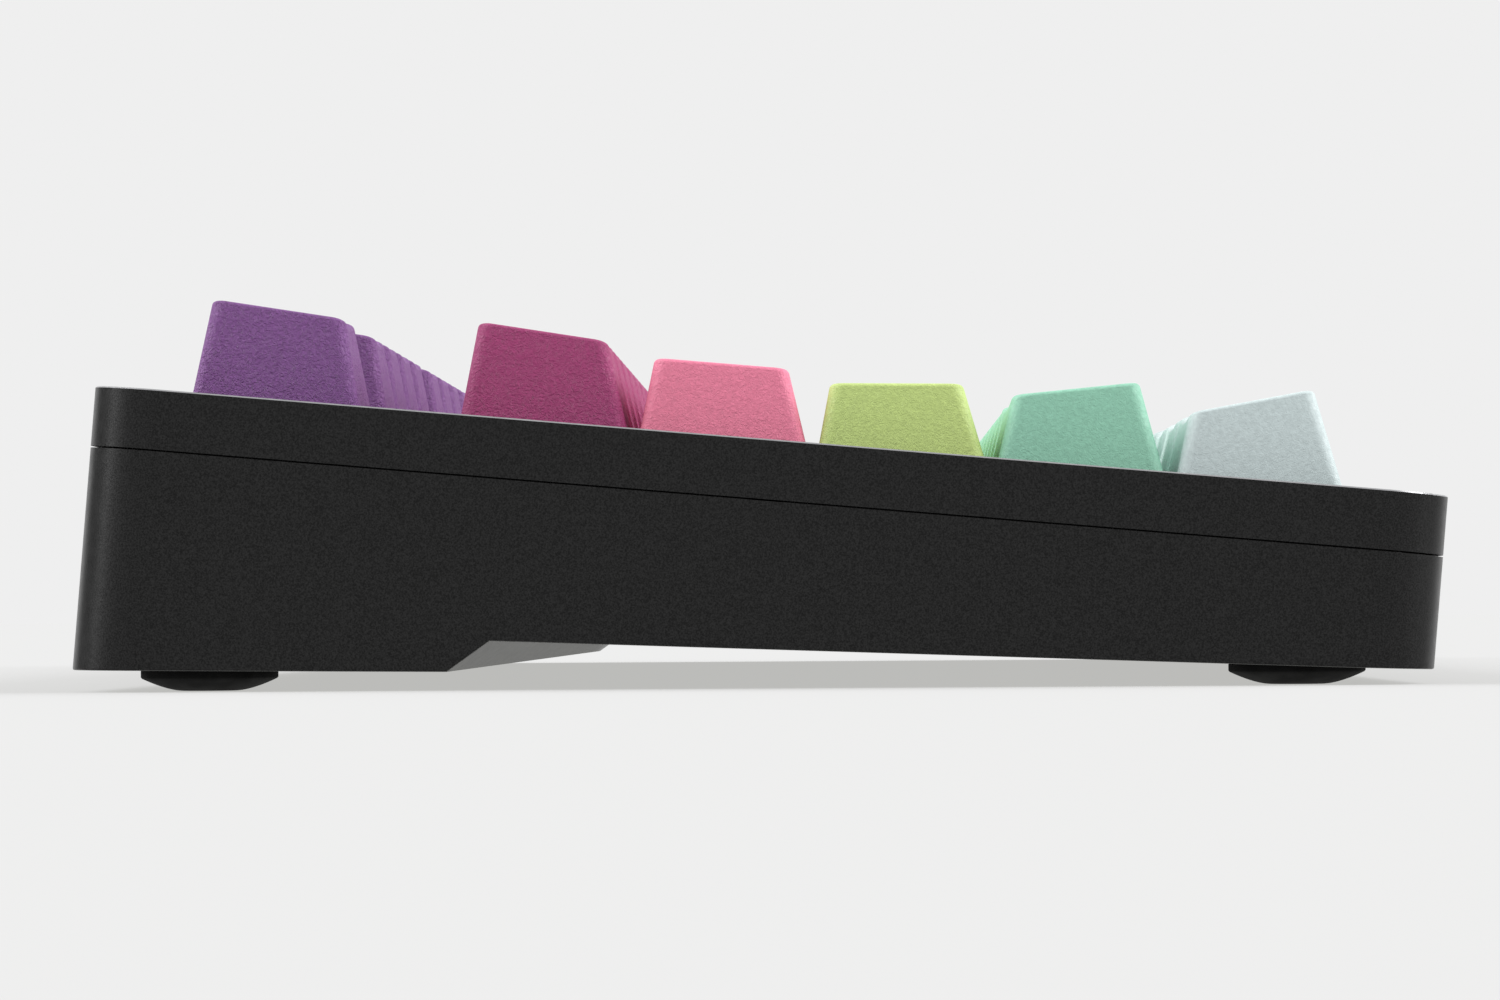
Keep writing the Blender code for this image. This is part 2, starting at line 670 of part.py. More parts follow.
build_bottom_case()
build_top_case()
build_feet()
build_screws()
build_switch_plate()
build_circuit_board()
build_electronics()
build_switch_housings()
build_keycaps()
build_stabiliser_wires()
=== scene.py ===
"""The finished looks of a tenkeyless mechanical keyboard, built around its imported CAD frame.

Metres, +Z up, the typist on the -Y side. Shapes are made in the case's leaning frame, like the CAD:
its origin is the middle of the case's top face, +y is towards the back, +z is the way the keys travel.
"""

import json
import math

import bmesh
import bpy
from mathutils import Matrix, Vector

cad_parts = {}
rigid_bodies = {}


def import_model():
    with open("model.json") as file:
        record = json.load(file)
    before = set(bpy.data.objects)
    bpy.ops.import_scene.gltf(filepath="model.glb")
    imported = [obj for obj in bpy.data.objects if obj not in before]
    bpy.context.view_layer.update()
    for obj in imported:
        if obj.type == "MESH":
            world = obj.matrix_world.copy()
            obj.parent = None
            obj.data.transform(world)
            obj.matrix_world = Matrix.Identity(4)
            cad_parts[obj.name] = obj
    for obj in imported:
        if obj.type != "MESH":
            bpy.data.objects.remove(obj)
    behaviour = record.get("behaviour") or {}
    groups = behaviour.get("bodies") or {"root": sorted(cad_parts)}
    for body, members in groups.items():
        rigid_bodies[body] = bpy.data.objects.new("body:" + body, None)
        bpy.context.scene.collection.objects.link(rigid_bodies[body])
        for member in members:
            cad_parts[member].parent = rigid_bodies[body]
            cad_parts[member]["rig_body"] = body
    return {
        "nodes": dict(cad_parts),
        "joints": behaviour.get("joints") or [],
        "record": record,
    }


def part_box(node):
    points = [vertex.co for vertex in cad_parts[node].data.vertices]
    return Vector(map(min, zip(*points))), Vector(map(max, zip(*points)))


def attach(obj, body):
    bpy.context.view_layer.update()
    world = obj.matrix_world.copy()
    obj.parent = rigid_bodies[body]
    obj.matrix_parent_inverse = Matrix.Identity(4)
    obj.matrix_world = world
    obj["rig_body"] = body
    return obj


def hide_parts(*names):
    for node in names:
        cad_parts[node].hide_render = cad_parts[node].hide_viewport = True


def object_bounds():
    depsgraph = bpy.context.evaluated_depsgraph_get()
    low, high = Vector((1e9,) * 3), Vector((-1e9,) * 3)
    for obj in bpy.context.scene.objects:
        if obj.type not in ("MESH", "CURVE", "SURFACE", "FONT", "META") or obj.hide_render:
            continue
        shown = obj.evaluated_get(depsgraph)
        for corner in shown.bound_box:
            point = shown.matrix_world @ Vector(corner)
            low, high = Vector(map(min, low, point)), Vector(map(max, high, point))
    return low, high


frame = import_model()
CAD_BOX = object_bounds()

NODES = frame["nodes"]
SLOTS = {row["node"]: row["material_slot"] for row in frame["record"]["subparts"]}

# Keycaps
KEY_GAP = 0.00095  # between the skirts of neighbouring keycaps
SKIRT_ABOVE_PLATE = 0.006
SIDE_DRAFT = 0.29  # how far the left and right walls lean in for each unit of height
SKIRT_CORNER = 0.0012
SKIRT_EASE = 0.00018
TOP_CORNER = 0.0015
TOP_FILLET = 0.00045
DISH_DEPTH = 0.0007
SPACE_CROWN = 0.0005
CROWNED_WIDTH = 4  # wider keys, in units, have a crowned top and not a dished one
WALL = 0.0014
ROOF = 0.0012  # under the dish's deepest line
ROOF_CORNER = 0.001
HOLLOW_CORNER = SKIRT_CORNER * 0.6
ROOF_OVERLAP = 0.0005  # how far the post and the stems go into the roof
POST_RADIUS = 0.0028
POST_BOTTOM = 0.0017  # above the skirt's foot
POST_EASE = 0.0002
POST_STEPS = 24
STEM_HALF = (0.0017, 0.0025)
STEM_BOTTOM = 0.0019  # above the plate
WALL_SHARES = (0.33, 0.66, 1)  # heights of the outer wall's rings
FILLET_STEPS = 5
TOP_SHARES = (0.12, 0.28, 0.46, 0.64, 0.80)  # how far the top's rings are drawn in to its middle
# (y, height) of the rear and front edges of the top above the skirt, by row
PROFILES = {
    "function": ((0.0080, 0.0116), (-0.0064, 0.0106)),
    "number": ((0.0081, 0.0115), (-0.0059, 0.0105)),
    "upper": ((0.0081, 0.0091), (-0.0062, 0.0091)),
    "home": ((0.0083, 0.0079), (-0.0058, 0.0090)),
    "lower": ((0.0079, 0.0082), (-0.0055, 0.0107)),
    "bottom": ((0.0080, 0.0079), (-0.0051, 0.0115)),
}
KEY_COLOURS = {
    "function": (0.176, 0.057, 0.224),
    "number": (0.292, 0.028, 0.128),
    "upper": (0.700, 0.180, 0.285),
    "home": (0.440, 0.555, 0.178),
    "lower": (0.232, 0.485, 0.358),
    "bottom": (0.475, 0.550, 0.552),
}
# Height of the moulded grain
KEY_GRAIN = {
    "function": 0.00038,
    "number": 0.00026,
    "upper": 0.00015,
    "home": 0.00011,
    "lower": 0.00009,
    "bottom": 0.00006,
}
HOMING_KEYS = (3, 6)  # places of the two keys with a raised bar, along the home row's letters
HOMING_BAR_HALF = (0.0021, 0.00045)
HOMING_BAR_ABOVE = 0.0006  # its top, above the bottom of the dish
HOMING_BAR_BELOW = 0.0004
HOMING_BAR_FROM_FRONT = 0.0032
HOMING_BAR_EASE = 0.00025

# Switches and stabilisers
HOUSING_HEIGHT = 0.0066  # above the plate's top face
HOUSING_DEPTH = 0.0047  # below it
SHAFT_DEPTH = 0.0034  # of the slider's shaft, below the plate's top face
SLIDER_HALF = (0.0035, 0.0028)
SLIDER_OPENING = (0.0038, 0.0031)
SLIDER_BOTTOM = -0.0045  # above the skirt's foot, like the slider's and the cross's other levels
SLIDER_TOP = 0.0015
SLIDER_EASE = 0.0003
CROSS_BOTTOM = 0.0012
CROSS_TOP = 0.0048
CROSS_REACH = 0.0020
CROSS_HALF_BARS = (0.00065, 0.00055)  # half the thickness of each of its two bars
CROSS_EASE = 0.00012
STABILISER_OFFSETS = {2: 0.011938, 2.25: 0.011938, 2.75: 0.011938, 6.25: 0.05}
STABILISER_Y = (-0.0056, 0.0069)
STABILISER_HALF = 0.0035
STABILISER_CHANNEL_HALF = 0.0022
STABILISER_HEIGHT = 0.004
STABILISER_FLOOR = 0.0004
STABILISER_FLOOR_EASE = 0.00015
STABILISER_WALL_EASE = 0.0003
HOOK_HALF = 0.0016
HOOK_Y = (0.0016, 0.0024)
HOOK_DROP = 0.0017  # under the stem's foot
HOOK_TOP = 0.003  # above the skirt's foot
HOOK_EASE = 0.00015
WIRE_RADIUS = 0.00075
WIRE_BEND = 0.0012
WIRE_BEND_STEPS = 6
WIRE_END_SHARES = (0.45, 0.88)  # how far its ends lie in from its box's upper rear edge, in radii

# Electronics
SOCKET_WALL = 0.0003
SOCKET_BACK = 0.001
SOCKET_MOUTH_EASE = 0.0001
TONGUE_HALF = (0.0033, 0.00035)
TONGUE_INSET = (0.0008, 0.0007)  # from the shell's back and from its mouth
TONGUE_EASE = 0.00015
CONTACTS = 12
CONTACT_PITCH = 0.0005
CONTACT_HALF = (0.00012, 0.0004)
CONTACT_INSET = (0.0042, 0.0011)  # of its two ends from the shell's mouth
CONTACT_EASE = 0.00004
PACKAGE_EASE = 0.00015
PACKAGE_GAP = 0.0001  # between the chip's upper face and the board that its leads reach
LEADS = 11
LEAD_PITCH = 0.00065
LEAD_LENGTH = 0.0009  # beyond the package
LEAD_OVERLAP = 0.0001
LEAD_HALF = 0.00015
LEAD_THICKNESS = 0.00025
LEAD_EASE = 0.00005
TINY = 0.00001  # keeps an outline's neighbouring arcs apart

# Case
CORNER = 0.008
CORNER_STEPS = 20
RIM_CHAMFER = 0.00014
WINDOW_CLEARANCE = 0.0009
WINDOW_CORNER = 0.0006
WINDOW_FLARE = 0.002  # how far the cutter flares above the top face
POCKET_CLEARANCE = (0.0009, 0.0013)  # round all the keys, sideways and lengthways
POCKET_CORNER = 0.001
RIB_DEPTH = 0.005
LIP_CORNER = 0.0042
LIP_OVERLAP = 0.0005
FLOOR_THICKNESS = 0.0023
CAVITY_INSET = 0.006
CAVITY_CORNER = 0.003
CAVITY_TOP = 0.005
LEDGE_INSET = 0.004
LEDGE_CORNER = 0.0045
LEDGE_Z = -0.0088
REST_GAP = 0.0003
REAR_PAD_HEIGHT = 0.00195
FRONT_LIP_HEIGHT = 0.0018
PAD_FRONT_Y = 0.0317
RAMP_TOP = (0.0275, -0.0233)
MIDDLE_SLOPE = 0.05  # of the raised middle of the underside
MIDDLE_RISE = 0.0013
LIP_Y = -0.0625
EDGE_BREAK = 0.0002
SEAM_LINE = 0.00018
PLUG_RECESS = (0.0070, 0.0042, 0.0025)  # half width, half height and corner radius
PLUG_RECESS_Y = (0.06, 0.08)  # from inside the rear wall to well behind it
CHAMFER_REACH = 0.0001  # how far past the corners' arcs the outer chamfer is looked for
# Levels and places that lie well beyond the case, for cutters that go right through
FAR_BELOW = -0.04
BELOW_TOP_CASE = -0.02
FAR_ABOVE = 0.01
BELOW_DESK = -0.01
FAR_SIDE = 0.3
BEYOND_WALL = 0.005

# Feet
FOOT_EASE = 0.0002  # of the upper edge
FOOT_WALL_BOTTOM = 0.00145  # height of the straight wall's lower edge above the desk
FOOT_SHOULDER = 0.00012  # step in from the wall to the dome
DOME_HEIGHT = 0.0013
DOME_CURVE = 1.55  # the power that the dome's profile follows
FOOT_FLAT = 0.0031  # radius of the flat that the dome runs out to
FOOT_MIDDLE = 0.0008  # radius of the innermost ring on that flat
FOOT_STEPS = 8
FOOT_ROUND_STEPS = 72
FOOT_SEAT_STEPS = 48

# Screws
SCREW_STEPS = 36
SCREW_HEAD = 0.003
SCREW_HEAD_EASE = 0.0003
SCREW_HEAD_FOOT_EASE = 0.0001
SCREW_BOSS = 0.0046  # radius, like those of the holes
SCREW_HOLE = 0.0018
SCREW_HEAD_HOLE = 0.0032
BOSS_FOOT = 0.001  # above the level of the underside
BOSS_BELOW_LEDGE = 0.0001
HOLE_STEPS = 24
BOSS_STEPS = 32
SCREW_HOLE_SKIN = 0.0018  # left over the hole, under the top face
SOCKET_HALF_FLATS = 0.00115
SOCKET_DEPTH = 0.0018
THREAD_PITCH = 0.0005
THREAD_START = 0.0006  # past the head
THREAD_RADII = (0.00125, 0.0015)
THREAD_TIP = 0.0011

# Camera, as in a product shot of the keyboard's left side
CAMERA_DISTANCE = 0.580  # from the case's left wall
CAMERA_Y = -0.0087
CAMERA_HEIGHT = 0.0073
CAMERA_ROLL = math.radians(-0.36)
LENS = 133.8
SHIFT = (-0.062, 0.0787)

# Studio
BACKDROP = 0.863  # brightness of the background
FLOOR_HALF = 60
FLOOR_COLOUR = (0.18, 0.18, 0.186)
FLOOR_GLOW = (1, 1, 0.97, 1)
FLOOR_GLOW_STRENGTH = 0.50
SUN_TILTS = {"front": (58, 0, 8), "rear": (-58, 0, -8)}
SUN_STRENGTH = 3.4
SUN_SPREAD = 50
CARD_ANGLE = math.radians(110)  # round from the camera's side of the keyboard
CARD_DISTANCE = 2
CARD_HALF = (0.75, 2)


# Placing


def lean_frame():
    """The leaning frame's matrix: its turn from the way the keys travel, its origin from the top case."""
    travel = Vector(next(j for j in frame["joints"] if j["type"] == "slide")["axis"])
    turn = Matrix.Rotation(math.atan2(-travel.y, travel.z), 4, "X")
    low, high = turned_box("top_case", turn)
    return turn @ Matrix.Translation(((low.x + high.x) / 2, (low.y + high.y) / 2, high.z))


def turned_box(node, matrix):
    """The lowest and highest corners of a CAD node along the axes of a leaning frame."""
    inverse = matrix.inverted()
    points = [inverse @ v.co for v in NODES[node].data.vertices]
    low = Vector(min(p[i] for p in points) for i in range(3))
    high = Vector(max(p[i] for p in points) for i in range(3))
    return low, high


LEAN = lean_frame()


def lean_box(node):
    return turned_box(node, LEAN)


def nodes_named(start):
    return sorted(n for n in NODES if n.startswith(start))


CASE_HIGH = lean_box("top_case")[1]
BASE_HIGH = lean_box("bottom_case")[1].z
PLATE_TOP = lean_box("switch_plate")[1].z
SKIRT_Z = PLATE_TOP + SKIRT_ABOVE_PLATE
RUN_BOX = lean_box("keycaps_f1_to_f4")
UNIT = (RUN_BOX[1].x - RUN_BOX[0].x + KEY_GAP) / 4
SKIRT_HALF_DEPTH = (UNIT - KEY_GAP) / 2

KEYCAP_NODES = nodes_named("keycap")
ROW_OF = {n: SLOTS[n].removeprefix("keycap_") for n in KEYCAP_NODES}


def keys_of(node):
    """(centre x, centre y, width in units) of each key that a keycap node holds."""
    low, high = lean_box(node)
    units = (high.x - low.x + KEY_GAP) / UNIT
    y = (low.y + high.y) / 2
    if node.startswith("keycap_"):
        return [((low.x + high.x) / 2, y, round(units * 4) / 4)]
    start = low.x - KEY_GAP / 2
    return [(start + (i + 0.5) * UNIT, y, 1) for i in range(round(units))]


# Mesh building


def outline(half_x, low_y, high_y, radius, arc=5, across=0, along=0):
    """A rounded rectangle's points, anticlockwise, its sides split into extra points where asked."""
    points = []
    corners = [(1, low_y, 1), (1, high_y, -1), (-1, high_y, -1), (-1, low_y, 1)]
    for i, (side, y, inward) in enumerate(corners):
        centre = Vector((side * (half_x - radius), y + inward * radius))
        for k in range(arc + 1):
            angle = math.radians(-90 + 90 * i + 90 * k / arc)
            points.append(centre + radius * Vector((math.cos(angle), math.sin(angle))))
    spread = []
    for i in range(4):
        corner = points[i * (arc + 1):(i + 1) * (arc + 1)]
        following = points[(i + 1) * (arc + 1) % len(points)]
        spread += corner
        extra = along if i % 2 == 0 else across
        spread += [corner[-1].lerp(following, (k + 1) / (extra + 1)) for k in range(extra)]
    return spread


def circle(radius, steps, centre=(0, 0)):
    turns = [2 * math.pi * k / steps for k in range(steps)]
    return [Vector((centre[0] + radius * math.cos(t), centre[1] + radius * math.sin(t))) for t in turns]


def level(points, z, centre=(0, 0)):
    """Flat points raised to a height and moved to a centre."""
    return [Vector((p.x + centre[0], p.y + centre[1], z)) for p in points]


def loft(bm, rings, slot=0):
    """Skins rings of equally many points and closes the first and the last."""
    made = [[bm.verts.new(p) for p in ring] for ring in rings]
    faces = [bm.faces.new(made[0]), bm.faces.new(made[-1])]
    for lower, upper in zip(made, made[1:]):
        for i in range(len(lower)):
            j = (i + 1) % len(lower)
            faces.append(bm.faces.new((lower[i], lower[j], upper[j], upper[i])))
    for face in faces:
        face.material_index = slot
    return faces


def revolve(bm, profile, steps, centre=(0, 0)):
    """Turns (radius, z) points round an upright axis."""
    return loft(bm, [level(circle(r, steps), z, centre) for r, z in profile])


def block(bm, low, high, radius=0.0002, slot=0):
    """A small moulded block whose edges are all eased by one radius."""
    centre = ((low[0] + high[0]) / 2, (low[1] + high[1]) / 2)
    half_x, half_y = (high[0] - low[0]) / 2, (high[1] - low[1]) / 2
    inner = outline(half_x - radius, -half_y + radius, half_y - radius, radius * 0.5, 2)
    outer = outline(half_x, -half_y, half_y, radius, 2)
    rings = [
        level(inner, low[2], centre),
        level(outer, low[2] + radius, centre),
        level(outer, high[2] - radius, centre),
        level(inner, high[2], centre),
    ]
    return loft(bm, rings, slot)


def mesh_of(bm, name):
    bmesh.ops.recalc_face_normals(bm, faces=bm.faces)
    mesh = bpy.data.meshes.new(name)
    bm.to_mesh(mesh)
    bm.free()
    return mesh


def link(name, mesh):
    made = bpy.data.objects.new(name, mesh)
    bpy.context.scene.collection.objects.link(made)
    return made


def solid(rings):
    """A closed solid through the rings, as an object to cut with or to cut from."""
    bm = bmesh.new()
    loft(bm, rings)
    return link("solid", mesh_of(bm, "solid"))


def upright(points, bottom, top, centre=(0, 0)):
    """A closed solid that raises flat points from one level to another."""
    return solid([level(points, bottom, centre), level(points, top, centre)])


def boolean(target, tool, operation):
    """Applies one Boolean to target and uses the tool up."""
    bpy.context.view_layer.update()
    modifier = target.modifiers.new(operation.lower(), "BOOLEAN")
    modifier.operation = operation
    modifier.object = tool
    graph = bpy.context.evaluated_depsgraph_get()
    result = bpy.data.meshes.new_from_object(target.evaluated_get(graph))
    target.modifiers.clear()
    target.data = result
    bpy.data.objects.remove(tool)
    return target


def cut(target, tool):
    return boolean(target, tool, "DIFFERENCE")


def taken_mesh(target):
    """An object's mesh, once the object itself has gone."""
    mesh = target.data
    bpy.data.objects.remove(target)
    return mesh


def finished(name, mesh, node, materials, leaning=True, sharp=32):
    """Turns a mesh into a piece that stands for a CAD node and rides on its body."""
    if leaning:
        mesh.transform(LEAN)
    for i, material in enumerate(materials):
        if i < len(mesh.materials):
            mesh.materials[i] = MATERIALS[material]
        else:
            mesh.materials.append(MATERIALS[material])
    mesh.shade_smooth()
    mesh.set_sharp_from_angle(angle=math.radians(sharp))
    piece = link(name, mesh)
    normals = piece.modifiers.new("even_faces", "WEIGHTED_NORMAL")
    normals.keep_sharp = True
    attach(piece, NODES[node]["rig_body"])
    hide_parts(node)
    return piece


# Materials


class Finish:
    """A Principled material whose patterns are laid out in the object's own metres."""

    def __init__(self, name, colour, roughness, metallic=0.0):
        self.made = bpy.data.materials.new(name)
        self.made.use_nodes = True
        self.tree = self.made.node_tree
        self.shader = self.tree.nodes["Principled BSDF"]
        self.coordinates = self.tree.nodes.new("ShaderNodeTexCoord").outputs["Object"]
        self.colour = colour
        self.shader.inputs["Base Color"].default_value = (*colour, 1)
        self.shader.inputs["Roughness"].default_value = roughness
        self.shader.inputs["Metallic"].default_value = metallic

    def noise(self, size, detail=2.0, roughness=0.5, distortion=0.0):
        """A noise pattern whose features are about size metres across."""
        node = self.tree.nodes.new("ShaderNodeTexNoise")
        node.inputs["Scale"].default_value = 1 / size
        node.inputs["Detail"].default_value = detail
        node.inputs["Roughness"].default_value = roughness
        node.inputs["Distortion"].default_value = distortion
        self.tree.links.new(self.coordinates, node.inputs["Vector"])
        return node.outputs["Fac"]

    def mapped(self, value, low, high, start=0.35, end=0.65):
        """A noise value spread from low to high over the middle part of its range."""
        node = self.tree.nodes.new("ShaderNodeMapRange")
        node.inputs["From Min"].default_value = start
        node.inputs["From Max"].default_value = end
        node.inputs["To Min"].default_value = low
        node.inputs["To Max"].default_value = high
        self.tree.links.new(value, node.inputs["Value"])
        return node.outputs["Result"]

    def mottle(self, size, amount, detail=3.0):
        """Lets the colour drift between a darker and a lighter tone."""
        node = self.tree.nodes.new("ShaderNodeMix")
        node.data_type = "RGBA"
        factor, darker, lighter = node.inputs[0], node.inputs[6], node.inputs[7]
        darker.default_value = (*[c * (1 - amount) for c in self.colour], 1)
        lighter.default_value = (*[min(1, c * (1 + amount)) for c in self.colour], 1)
        self.tree.links.new(self.mapped(self.noise(size, detail), 0, 1), factor)
        self.tree.links.new(node.outputs[2], self.shader.inputs["Base Color"])
        return self

    def uneven(self, size, low, high):
        """Lets the roughness drift."""
        self.tree.links.new(self.mapped(self.noise(size), low, high), self.shader.inputs["Roughness"])
        return self

    def grain(self, size, height, detail=2.0, distortion=0.0):
        """Raises the surface by a pattern, on top of any grain that it has already."""
        node = self.tree.nodes.new("ShaderNodeBump")
        node.inputs["Distance"].default_value = height
        node.inputs["Strength"].default_value = 1.0
        self.tree.links.new(self.noise(size, detail, 0.6, distortion), node.inputs["Height"])
        normal = self.shader.inputs["Normal"]
        if normal.is_linked:
            self.tree.links.new(normal.links[0].from_socket, node.inputs["Normal"])
        self.tree.links.new(node.outputs["Normal"], normal)
        return self

    def set(self, **values):
        """Sets sockets of the shader by name, with _ for a space."""
        for name, value in values.items():
            self.shader.inputs[name.replace("_", " ")].default_value = value
        return self


def make_materials():
    made = {
        "case": Finish("anodised_black", (0.0235, 0.0235, 0.0235), 0.34, 1.0)
        .mottle(0.00016, 0.35, 2.0).uneven(0.0012, 0.32, 0.36).grain(0.00018, 0.000010),
        # The rim chamfer's lighter metal is a painted highlight: the bright line where the top edge
        # catches the light.
        "chamfer": Finish("cut_chamfer", (0.42, 0.42, 0.43), 0.28, 1.0)
        .mottle(0.0011, 0.06).uneven(0.0008, 0.22, 0.34).grain(0.0003, 0.000002),
        "rubber": Finish("foot_rubber", (0.0035, 0.0035, 0.0035), 0.85)
        .mottle(0.0012, 0.2).uneven(0.002, 0.78, 0.92).grain(0.00025, 0.000015)
        .set(Specular_IOR_Level=0.2),
        "screw": Finish("blackened_steel", (0.045, 0.045, 0.047), 0.35, 1.0)
        .mottle(0.0006, 0.15).uneven(0.0007, 0.28, 0.45).grain(0.00015, 0.000003),
        "plate": Finish("plate_finish", (0.05, 0.05, 0.053), 0.45, 1.0)
        .mottle(0.0004, 0.1).uneven(0.0012, 0.43, 0.48).grain(0.0002, 0.000004),
        "board": Finish("solder_mask", (0.008, 0.014, 0.011), 0.38)
        .mottle(0.004, 0.15).uneven(0.003, 0.32, 0.45).grain(0.0006, 0.000006),
        "chip": Finish("chip_epoxy", (0.014, 0.014, 0.015), 0.6)
        .mottle(0.0005, 0.15).uneven(0.001, 0.52, 0.66).grain(0.0001, 0.000004),
        "steel": Finish("drawn_steel", (0.56, 0.56, 0.55), 0.28, 1.0)
        .mottle(0.0015, 0.05).uneven(0.0008, 0.22, 0.36).grain(0.0002, 0.000002),
        "tongue": Finish("socket_tongue", (0.012, 0.012, 0.012), 0.5)
        .mottle(0.0004, 0.15).uneven(0.0006, 0.42, 0.56).grain(0.0002, 0.000004),
        "gold": Finish("gilt_contact", (0.86, 0.60, 0.25), 0.25, 1.0)
        .mottle(0.0004, 0.05).uneven(0.0004, 0.2, 0.34).grain(0.0002, 0.000002),
        "switch": Finish("switch_nylon", (0.016, 0.016, 0.017), 0.5)
        .mottle(0.0006, 0.12).uneven(0.0008, 0.48, 0.56).grain(0.0002, 0.000008),
        "slider": Finish("slider_acetal", (0.26, 0.055, 0.03), 0.35)
        .mottle(0.002, 0.08).uneven(0.002, 0.3, 0.42).grain(0.0003, 0.000004),
    }
    for row, colour in KEY_COLOURS.items():
        height = KEY_GRAIN[row]
        made[row] = (
            Finish(f"keycap_{row}", colour, 0.6)
            .mottle(0.0005, 0.06)
            .uneven(0.0006, 0.5, 0.68)
            .grain(0.00042, height, distortion=1.2)
            .grain(0.00016, height / 5)
            .set(Specular_IOR_Level=0.42)
        )
    return {name: finish.made for name, finish in made.items()}


MATERIALS = make_materials()


# Keycaps


def keycap(bm, x, y, width, row):
    """One hollow keycap: a skirt, four drafted walls, a rolled top edge and a dished top."""
    (rear_y, rear_height), (front_y, front_height) = PROFILES[row]
    half_x = (width * UNIT - KEY_GAP) / 2
    crowned = width > CROWNED_WIDTH
    middle_y, reach = (rear_y + front_y) / 2, (rear_y - front_y) / 2

    def plane(at):
        return rear_height + (at - rear_y) * (front_height - rear_height) / (front_y - rear_y)

    def half_width(at):
        return half_x - SIDE_DRAFT * plane(at)

    def on_top(p):
        if crowned:
            z = plane(p.y) + SPACE_CROWN * (1 - min(1, ((p.y - middle_y) / reach) ** 2))
        else:
            z = plane(p.y) - DISH_DEPTH * (1 - min(1, (p.x / half_width(p.y)) ** 2))
        return Vector((p.x, p.y, z))

    counts = {"arc": 5, "across": 12 if crowned else round(8 * width), "along": 3}

    def around_skirt(inset, corner):
        depth = SKIRT_HALF_DEPTH - inset
        return outline(half_x - inset, -depth, depth, corner, **counts)

    mean_half = half_width(middle_y)
    rim = outline(mean_half, front_y, rear_y, TOP_CORNER, **counts)
    rim = [Vector((p.x * half_width(p.y) / mean_half, p.y)) for p in rim]
    edge, inside = [], []
    for i, p in enumerate(rim):
        along = (rim[(i + 1) % len(rim)] - rim[i - 1]).normalized()
        edge.append(on_top(p))
        inside.append(on_top(p + TOP_FILLET * Vector((-along.y, along.x))))

    roof_z = min(rear_height, front_height) - DISH_DEPTH - ROOF
    share = roof_z / ((rear_height + front_height) / 2)
    roof_rear = SKIRT_HALF_DEPTH + (rear_y - SKIRT_HALF_DEPTH) * share - WALL
    roof_front = -SKIRT_HALF_DEPTH + (front_y + SKIRT_HALF_DEPTH) * share + WALL
    roof_half = half_x - SIDE_DRAFT * roof_z - WALL
    foot = level(around_skirt(0, SKIRT_CORNER), SKIRT_EASE)
    rings = [
        level(outline(roof_half, roof_front, roof_rear, ROOF_CORNER, **counts), roof_z),
        level(around_skirt(WALL, HOLLOW_CORNER), 0),
        level(around_skirt(SKIRT_EASE, SKIRT_CORNER - SKIRT_EASE), 0),
        foot,
    ]
    below = [e - TOP_FILLET * (e - f).normalized() for e, f in zip(edge, foot)]
    rings += [[f.lerp(b, share) for f, b in zip(foot, below)] for share in WALL_SHARES]
    for k in range(1, FILLET_STEPS + 1):
        turn = math.radians(90 * k / FILLET_STEPS)
        rings.append([
            e + (b - e) * (1 - math.sin(turn)) + (i - e) * (1 - math.cos(turn))
            for e, b, i in zip(edge, below, inside)
        ])
    middle = Vector((0, middle_y))
    rings += [[on_top(p.xy.lerp(middle, share)) for p in inside] for share in TOP_SHARES]
    place = Vector((x, y, SKIRT_Z))
    loft(bm, [[p + place for p in ring] for ring in rings])

    post_foot = SKIRT_Z + POST_BOTTOM
    top = SKIRT_Z + roof_z + ROOF_OVERLAP
    post = [(POST_RADIUS - POST_EASE, post_foot), (POST_RADIUS, post_foot + POST_EASE), (POST_RADIUS, top)]
    revolve(bm, post, POST_STEPS, (x, y))
    stem_x, stem_y = STEM_HALF
    for offset in stabiliser_xs(width):
        stem_low = (x + offset - stem_x, y - stem_y, PLATE_TOP + STEM_BOTTOM)
        block(bm, stem_low, (x + offset + stem_x, y + stem_y, top))


def stabiliser_xs(width):
    offset = STABILISER_OFFSETS.get(width)
    return [-offset, offset] if offset else []


def homing_bar(bm, x, y, row):
    """The raised bar that a finger finds."""
    (rear_y, rear_height), (front_y, front_height) = PROFILES[row]
    slope = (front_height - rear_height) / (front_y - rear_y)
    z = SKIRT_Z + front_height + HOMING_BAR_FROM_FRONT * slope - DISH_DEPTH
    middle_y = y + front_y + HOMING_BAR_FROM_FRONT
    half_x, half_y = HOMING_BAR_HALF
    low = (x - half_x, middle_y - half_y, z - HOMING_BAR_BELOW)
    block(bm, low, (x + half_x, middle_y + half_y, z + HOMING_BAR_ABOVE), HOMING_BAR_EASE)


def slider(bm, x, y, width):
    """The switch's slider: a body that runs in the housing and a cross that holds the keycap."""

    def upright_block(half_x, half_y, bottom, top, radius):
        low = (x - half_x, y - half_y, SKIRT_Z + bottom)
        block(bm, low, (x + half_x, y + half_y, SKIRT_Z + top), radius)

    upright_block(*SLIDER_HALF, SLIDER_BOTTOM, SLIDER_TOP, SLIDER_EASE)
    along_x, along_y = CROSS_HALF_BARS
    upright_block(CROSS_REACH, along_x, CROSS_BOTTOM, CROSS_TOP, CROSS_EASE)
    upright_block(along_y, CROSS_REACH, CROSS_BOTTOM, CROSS_TOP, CROSS_EASE)
    for offset in stabiliser_xs(width):
        hook_low = (x + offset - HOOK_HALF, y + HOOK_Y[0], PLATE_TOP + STEM_BOTTOM - HOOK_DROP)
        hook_high = (x + offset + HOOK_HALF, y + HOOK_Y[1], SKIRT_Z + HOOK_TOP)
        block(bm, hook_low, hook_high, HOOK_EASE)


